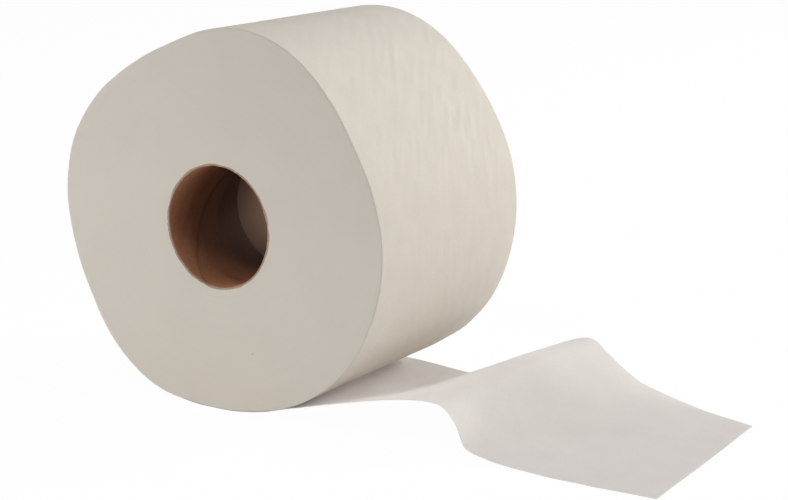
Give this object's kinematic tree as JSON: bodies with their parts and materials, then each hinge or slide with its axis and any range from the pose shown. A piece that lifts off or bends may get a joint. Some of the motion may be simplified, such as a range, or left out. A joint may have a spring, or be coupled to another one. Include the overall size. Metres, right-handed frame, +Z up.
{
  "type": "toilet paper roll",
  "caption": "Toilet paper roll on a short cardboard core, lying on its side, with its loose end drawn out over the surface and raised in a soft hump.",
  "frame": {"origin": "on the surface that the roll lies on, under its axis and half way along it", "axes": "+Y along the roll's axis, away from the end face that shows most; +Z up; +X the way the loose end runs out"},
  "size_m": [0.2475, 0.095, 0.1413],
  "materials": {
    "cardboard_core": "matte",
    "tissue_paper": "matte"
  },
  "bodies": {
    "root": {"core_tube": "cardboard_core", "paper_web": "tissue_paper"}
  },
  "joints": []
}
